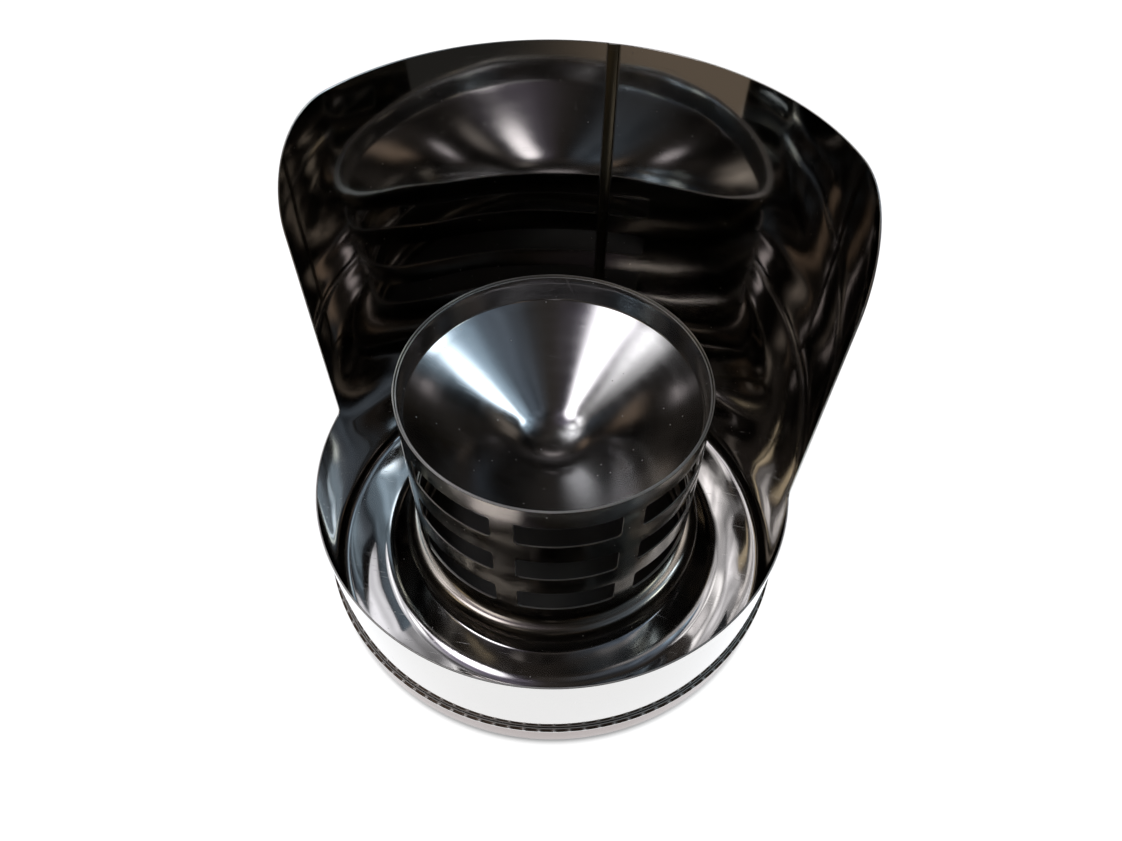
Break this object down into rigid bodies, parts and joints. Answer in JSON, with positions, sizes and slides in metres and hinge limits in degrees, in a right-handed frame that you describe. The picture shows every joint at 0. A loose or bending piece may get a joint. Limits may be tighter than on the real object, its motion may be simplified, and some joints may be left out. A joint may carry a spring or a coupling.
{
  "type": "flue terminal",
  "caption": "Round wall flue terminal of bright stainless sheet: a slotted outlet drum with a sunken cone on a dished base pan, inside a band that rises into a half-round wind hood.",
  "frame": {"origin": "centre of the base pan on the plane of its lower ring, the side that goes to the wall", "axes": "+Z out of the wall along the flue's axis, +Y to the middle of the half-round hood, -Y to the open side"},
  "size_m": [0.2014, 0.2014, 0.187],
  "materials": {
    "pan_steel": "bright mirror finish, press streaks round the floor, smudges and dust",
    "hood_steel": "bright mirror finish, fine scratches, rolling marks and dust",
    "collar_steel": "bright mirror finish, dulled on the bead",
    "drum_steel": "bright mirror finish, fine scratches, dull punched edges",
    "cone_steel": "bright mirror finish, fine scratches and dust"
  },
  "bodies": {
    "root": {"base_pan": "pan_steel", "wind_hood": "hood_steel", "flue_collar": "collar_steel", "outlet_drum": "drum_steel", "deflector_cone": "cone_steel"}
  },
  "joints": []
}
